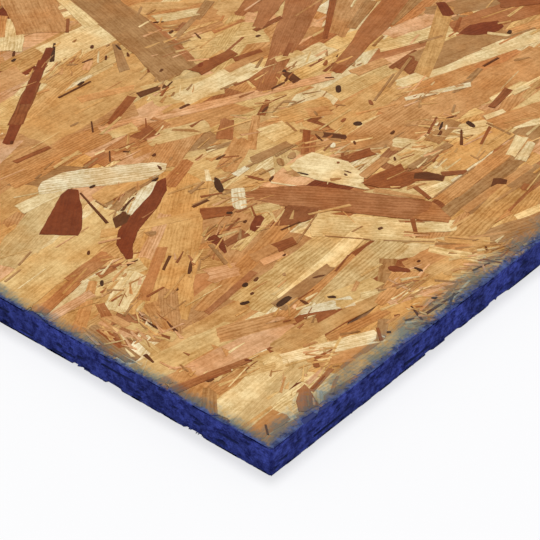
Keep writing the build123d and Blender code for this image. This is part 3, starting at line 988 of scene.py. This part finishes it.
def sealer_colour(shader, place):
    """The blue sealer, blotched and streaked as it soaked in."""
    cloud = shader.noise(place, 240.0, detail=4.0, roughness=0.65)
    fine = shader.noise(place, 1100.0, (0.6, 0.6, 1.0), detail=3.0)
    share = shader.remap(shader.weighted((cloud, 0.7), (fine, 0.45)), 0.46, 0.70)
    return shader.mix(share, linear(42, 49, 124), linear(88, 103, 212))


def strand_material():
    """Pressed wood strands: rings, fibres and flecks along each strand, sealer near the sawn sides."""
    shader = Shader("strand_board")
    grain = shader.node("ShaderNodeUVMap", {"uv_map": "grain"}).outputs[0]
    place = shader.node("ShaderNodeTexCoord").outputs["Object"]
    own = shader.node("ShaderNodeAttribute", {"attribute_name": "tone"})
    tone, chance = own.outputs["Color"], own.outputs["Alpha"]
    rim = shader.node("ShaderNodeAttribute", {"attribute_name": "rim"}).outputs["Fac"]

    stretched = shader.node("ShaderNodeVectorMath", {"operation": "MULTIPLY"}, i0=grain, i1=(0.22, 1, 1))
    rings = shader.node(
        "ShaderNodeTexWave", {"bands_direction": "Y"},
        Vector=stretched.outputs[0], Scale=15.0, Distortion=6.0, Detail=3.0,
        Detail_Scale=2.2, Detail_Roughness=0.65,
    ).outputs["Fac"]
    latewood = shader.math("MULTIPLY", shader.remap(rings, 0.45, 1.0), chance)
    streaks = shader.noise(grain, 1.0, (2.6, 42.0, 1.0), detail=4.0, roughness=0.6)
    fibres = shader.noise(grain, 1.0, (11.0, 170.0, 1.0), detail=4.0, roughness=0.75)
    blotch = shader.noise(place, 95.0, detail=5.0, roughness=0.6)
    cloud = shader.noise(place, 38.0, detail=3.0)
    mottle = shader.noise(place, 520.0, detail=5.0, roughness=0.7)
    grit = shader.noise(place, 1500.0, detail=2.0)

    light = shader.weighted((streaks, 0.55), (fibres, 0.6), (blotch, 0.7), (mottle, 0.75), (latewood, -0.22))
    light = shader.remap(light, 1.03, 1.49)
    deep = shader.multiply(tone, (0.72, 0.59, 0.40, 1.0))
    pale = shader.multiply(tone, (1.28, 1.32, 1.38, 1.0))
    wood = shader.mix(light, deep, pale)
    warm = shader.multiply(wood, (0.96, 0.80, 0.63, 1.0))
    wood = shader.mix(shader.remap(cloud, 0.42, 0.64, 0.0, 0.8), wood, warm)
    flecks = shader.noise(grain, 1.0, (34.0, 240.0, 1.0), detail=2.0)
    dashes = shader.math("MULTIPLY", shader.remap(flecks, 0.66, 0.74), shader.remap(blotch, 0.35, 0.65))
    pits = shader.math("MULTIPLY", shader.remap(grit, 0.66, 0.73), shader.remap(blotch, 0.62, 0.42))
    marks = shader.math("MULTIPLY", shader.math("MAXIMUM", dashes, pits), 0.6)
    wood = shader.mix(marks, wood, linear(104, 60, 32))
    shadow = shader.math("MULTIPLY", rim, shader.remap(blotch, 0.38, 0.62, 0.04, 0.5))
    wood = shader.mix(shadow, wood, linear(92, 50, 26))

    near = drift_of_sealer(shader, place)
    patches = shader.remap(shader.noise(place, 55.0, detail=2.0), 0.35, 0.65, 0.62, 1.35)
    reached = shader.math("MULTIPLY", near, patches)
    uneven = shader.weighted((mottle, 1.5), (blotch, 1.2), (fibres, 1.1))
    feathers = shader.math("SUBTRACT", uneven, 1.9)
    dust = shader.remap(shader.math("ADD", reached, feathers), 0.02, 0.70)
    dust = shader.math("MULTIPLY", dust, shader.remap(near, 0.0, 0.2))
    stained = shader.multiply(wood, (0.40, 0.54, 0.82, 1.0))
    dusted = shader.mix(0.45, stained, linear(88, 102, 106))
    wood = shader.mix(dust, wood, dusted)
    cover = shader.remap(shader.math("ADD", near, shader.math("MULTIPLY", feathers, 0.40)), 0.70, 0.90)
    sealer = sealer_colour(shader, place)
    # On the strands' outer faces, away from their rims and sawn sides, the sealer is thinner and greyer, and
    # painted darker to offset the stronger light that falls on those faces
    thin_shaded_sealer = shader.multiply(sealer, (0.85, 0.90, 0.42, 1.0))
    sealer = shader.mix(rim, thin_shaded_sealer, sealer)
    colour = shader.mix(cover, wood, sealer)

    roughness = shader.remap(fibres, 0.3, 0.7, 0.52, 0.76)
    height = shader.weighted((fibres, 0.8), (mottle, 0.5), (latewood, -0.1))
    return shader.finish(colour, roughness, height, 0.7, 0.3 * MM, 0.08)


def edge_material():
    """The sawn and sealed edge: blue over rough strand ends, with painted shade in the crevices, on the
    returns and on faces that look upward.
    """
    shader = Shader("sealed_edge")
    place = shader.node("ShaderNodeTexCoord").outputs["Object"]
    tone = shader.node("ShaderNodeAttribute", {"attribute_name": "tone"}).outputs["Color"]
    normal = shader.node("ShaderNodeNewGeometry").outputs["Normal"]
    upward = shader.node("ShaderNodeSeparateXYZ", None, i0=normal).outputs[2]
    # The tone attribute holds the edge's painted shade and its darkening towards the bottom
    colour = shader.multiply(sealer_colour(shader, place), tone)
    broad = shader.remap(shader.noise(place, 60.0, detail=3.0), 0.34, 0.66, 0.70, 1.30)
    colour = shader.multiply(colour, broad)
    # Painted shade: faces of the edge that look upward take a darker, greyer blue, to offset the stronger
    # light from above
    upward_shade = shader.remap(upward, 0.5, 0.95)
    colour = shader.mix(upward_shade, colour, linear(54, 62, 112))
    rough = shader.noise(place, 900.0, (0.6, 0.6, 1.0), detail=5.0, roughness=0.75)
    roughness = shader.remap(rough, 0.3, 0.7, 0.6, 0.85)
    return shader.finish(colour, roughness, rough, 0.9, 0.5 * MM, 0.08)


def core_material():
    """What shows in the gaps between strands: brown wood, painted darker for the shade it lies in."""
    shader = Shader("strand_core")
    place = shader.node("ShaderNodeTexCoord").outputs["Object"]
    streaks = shader.noise(place, 1.0, (90.0, 700.0, 200.0), detail=4.0)
    colour = shader.mix(shader.remap(streaks, 0.35, 0.65), linear(92, 58, 34), linear(168, 122, 78))
    return shader.finish(colour, 0.75, streaks, 0.4, 0.3 * MM)


def edge_stations(side):
    """Distances along a side at which its edge is shaped: close together near the studied corner."""
    corner, way, _, length = saw.sides[side]
    stations = []
    along = 0.0
    while along < length:
        stations.append(along)
        place = corner + way * along
        studied = (place.xy - near_corner).length < studied_reach
        step = saw_step[0] if studied else saw_step[1]
        if min(along, length - along) < end_stretch:
            step = end_step
        along += step
    stations.append(length)
    return stations


def edge_depth(side, along, z):
    """How far the edge face stands back: the solid's own depth, strand ends and a few crevices."""
    row = round(z / (1.3 * edge_row))
    seed = side * 53.0
    strands = noise.noise(Vector((along / strand_end_span, row * 7.7, seed)))
    rough = noise.noise(Vector((along / rough_span, z / rough_rise, seed + 5)))
    gap = noise.noise(Vector((along / crevice_span, z / crevice_rise + along / crevice_drop, seed + 9)))
    relief = (0.5 + 0.6 * strands + 0.5 * rough) * edge_relief
    crevice = min(1.0, max(0.0, gap - crevice_start) / crevice_ramp) * crevice_depth
    return saw.solid_depth(side, along, z) + max(0.0, relief) + crevice, crevice


def build_edge(name, side):
    """One edge face, with a narrow return at its top and bottom that runs in under the strands."""
    corner, way, inward, length = saw.sides[side]
    stations = edge_stations(side)
    low, high = sheet_low.z + flange_level, sheet_high.z - flange_level
    rows = max(2, round((high - low) / edge_row))
    heights = [low + (high - low) * row / rows for row in range(rows + 1)]
    points, shades, flat = [], [], []
    band = sheet_thickness + 2 * flange_width
    for along in stations:
        column = []
        for z in heights:
            depth, crevice = edge_depth(side, along, z)
            cap = min(along, length - along)
            depth = min(depth, max(cap, end_least_depth)) if cap < end_taper else depth
            # Painted shade darkens the crevices; the face is also darker towards the bottom
            shade = lowest_shade + shade_rise * z / sheet_thickness - crevice_shade * crevice / crevice_depth
            column.append((corner + way * along + inward * depth + Vector((0, 0, z)), shade, z))
        edge_in = min(max(along, flange_width), length - flange_width)
        foot = corner + way * edge_in + inward * flange_width
        # The returns are painted darker, for the shade under the strands
        column.insert(0, (foot + Vector((0, 0, low)), flange_shade, low - flange_width))
        column.append((foot + Vector((0, 0, high)), flange_shade, high + flange_width))
        for point, shade, spread in column:
            points.append(point)
            shades.append(shade)
            flat.append((along, spread + flange_width))
    tall = len(heights) + 2
    faces, tones, bake = [], [], []
    stretch = length / edge_map_pieces
    for index in range(len(stations) - 1):
        piece = min(edge_map_pieces - 1, int(stations[index] / stretch))
        for row in range(tall - 1):
            first = index * tall + row
            loop = [first, first + tall, first + tall + 1, first + 1]
            faces.append(loop)
            for corner_index in loop:
                value = shades[corner_index]
                tones.append((value, value, value, 1.0))
                east, north = flat[corner_index]
                size = max(stretch + edge_map_margin, edge_map_pieces * band)
                bake.append(((east - piece * stretch) / size, (north + piece * band) / size))
    return new_piece(name, points, faces, (("OFBake", bake),), tones)


def build_core():
    """The slab behind the strands, which shows only in the gaps."""
    low = Vector((sheet_low.x + core_inset, sheet_low.y + core_inset, sheet_low.z + core_level))
    high = Vector((sheet_high.x - core_inset, sheet_high.y - core_inset, sheet_high.z - core_level))
    corners = [(x, y, z) for z in (low.z, high.z) for x, y in (
        (low.x, low.y), (high.x, low.y), (high.x, high.y), (low.x, high.y))]
    faces = [(3, 2, 1, 0), (4, 5, 6, 7), (0, 1, 5, 4), (1, 2, 6, 5), (2, 3, 7, 6), (3, 0, 4, 7)]
    return new_piece("strand_core", corners, faces)


def build_top():
    pieces = []
    for lane in range(top_lanes):
        mesh = StrandMesh(top_seed + lane, 1, *lane_bounds(top_lanes, lane))
        fill_layer(mesh, wide_length, wide_width, wide_levels, 0.0)
        for levels in mat_levels:
            fill_layer(mesh, strand_length, strand_width, levels, rim_width)
        scatter(
            mesh, top_narrow_density, narrow_length, narrow_width, narrow_levels, MAT_TONES, rim_width
        )
        scatter(mesh, top_sliver_density, sliver_length, sliver_width, sliver_levels, SLIVER_TONES, 0.0)
        place_by_hand(mesh, PLACED, placed_levels)
        place_shapes(mesh, shape_level)
        place_by_hand(mesh, SPECKS_AND_SHADE_LINES, speck_levels, chip_most_length)
        add_tangles(mesh)
        pieces.append(mesh.build(f"top_strands_{lane + 1}"))
    return pieces


def build_underside():
    pieces = []
    for lane in range(underside_lanes):
        mesh = StrandMesh(underside_seed + lane, -1, *lane_bounds(underside_lanes, lane))
        fill_layer(mesh, wide_length, wide_width, wide_levels, 0.0)
        for levels in underside_mat_levels:
            fill_layer(mesh, strand_length, strand_width, levels, 0.0)
        scatter(
            mesh, underside_narrow_density, narrow_length, narrow_width, underside_narrow_levels,
            MAT_TONES, 0.0,
        )
        scatter(mesh, underside_sliver_density, sliver_length, sliver_width, sliver_levels, SLIVER_TONES, 0.0)
        pieces.append(mesh.build(f"underside_strands_{lane + 1}"))
    return pieces


def build_edges():
    return [build_edge(f"edge_{side + 1}", side) for side in range(4)]


def dress(pieces, material):
    for piece in pieces:
        piece.data.materials.append(material)
        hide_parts("osb_panel")
        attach(piece, "root")


# Floor
floor_size = 40.0
floor_gap = 0.05 * MM
floor_grey = (0.33, 0.33, 0.33, 1.0)
floor_glow = (0.65, 0.65, 0.66, 1.0)


def build_floor():
    """A plain white floor that keeps a faint contact shadow."""
    signs = [(-1, -1), (1, -1), (1, 1), (-1, 1)]
    corners = [(floor_size * east, floor_size * north) for east, north in signs]
    floor = new_piece("floor", [(x, y, sheet_low.z - floor_gap) for x, y in corners], [(0, 1, 2, 3)])
    shader = Shader("floor")
    path = shader.node("ShaderNodeLightPath")
    seen = shader.math("MAXIMUM", path.outputs["Is Camera Ray"], path.outputs["Is Glossy Ray"])
    seen = shader.math("MAXIMUM", seen, path.outputs["Is Transmission Ray"])
    diffuse = shader.node("ShaderNodeBsdfDiffuse", None, Color=floor_grey)
    glow = shader.node("ShaderNodeEmission", None, Color=floor_glow, Strength=seen)
    both = shader.node("ShaderNodeAddShader", None, i0=diffuse.outputs[0], i1=glow.outputs[0])
    shader.node("ShaderNodeOutputMaterial", None, Surface=both.outputs[0])
    floor.data.materials.append(shader.material)


# Light: a soft key from behind the sheet, and an even white surround
white = (1.0, 1.0, 1.0, 1.0)
key_strength = 1.82
key_softness = 24.0
key_elevation = 69.0
surround_strength = 0.45
backdrop_strength = 0.98


def build_light():
    world = bpy.data.worlds.new("studio")
    bpy.context.scene.world = world
    world.use_nodes = True
    background = world.node_tree.nodes["Background"]
    background.inputs["Color"].default_value = white
    path = world.node_tree.nodes.new("ShaderNodeLightPath")
    seen = path.outputs["Is Camera Ray"]
    for ray in ("Is Glossy Ray", "Is Transmission Ray"):
        either = world.node_tree.nodes.new("ShaderNodeMath")
        either.operation = "MAXIMUM"
        world.node_tree.links.new(seen, either.inputs[0])
        world.node_tree.links.new(path.outputs[ray], either.inputs[1])
        seen = either.outputs[0]
    strength = world.node_tree.nodes.new("ShaderNodeMapRange")
    strength.inputs["To Min"].default_value = surround_strength
    strength.inputs["To Max"].default_value = backdrop_strength
    world.node_tree.links.new(seen, strength.inputs["Value"])
    world.node_tree.links.new(strength.outputs[0], background.inputs["Strength"])
    lamp = bpy.data.lights.new("key", "SUN")
    lamp.energy = key_strength
    lamp.angle = math.radians(key_softness)
    key = bpy.data.objects.new("key", lamp)
    azimuth, elevation = math.radians(camera_azimuth), math.radians(key_elevation)
    level = math.cos(elevation)
    shine = Vector((-level * math.sin(azimuth), -level * math.cos(azimuth), -math.sin(elevation)))
    key.rotation_euler = shine.to_track_quat("-Z", "Y").to_euler()
    bpy.context.collection.objects.link(key)


# Camera: the photograph's angle on the near corner
camera_azimuth = 49.87
camera_elevation = 36.41
camera_distance = 1.2
camera_lens = 146.27
camera_roll = 0.3
camera_sensor = 36.0
camera_clip = (0.05, 100.0)
aim_from_corner = Vector((128.6, 109.9)) * MM


def build_camera():
    azimuth, elevation = math.radians(camera_azimuth), math.radians(camera_elevation)
    forward = Vector((
        math.cos(elevation) * math.sin(azimuth), math.cos(elevation) * math.cos(azimuth), -math.sin(elevation)
    ))
    aim = Vector((*(near_corner + aim_from_corner), sheet_low.z))
    data = bpy.data.cameras.new("camera")
    data.lens = camera_lens
    data.sensor_width = camera_sensor
    data.clip_start, data.clip_end = camera_clip
    camera = bpy.data.objects.new("camera", data)
    camera.location = aim - forward * camera_distance
    level = forward.to_track_quat("-Z", "Y")
    camera.rotation_euler = (level @ Quaternion((0, 0, 1), math.radians(camera_roll))).to_euler()
    bpy.context.collection.objects.link(camera)
    bpy.context.scene.camera = camera


bpy.context.scene.view_settings.view_transform = "Standard"
build_camera()
build_light()
build_floor()
strands = strand_material()
dress(build_top(), strands)
dress(build_underside(), strands)
dress(build_edges(), edge_material())
dress([build_core()], core_material())
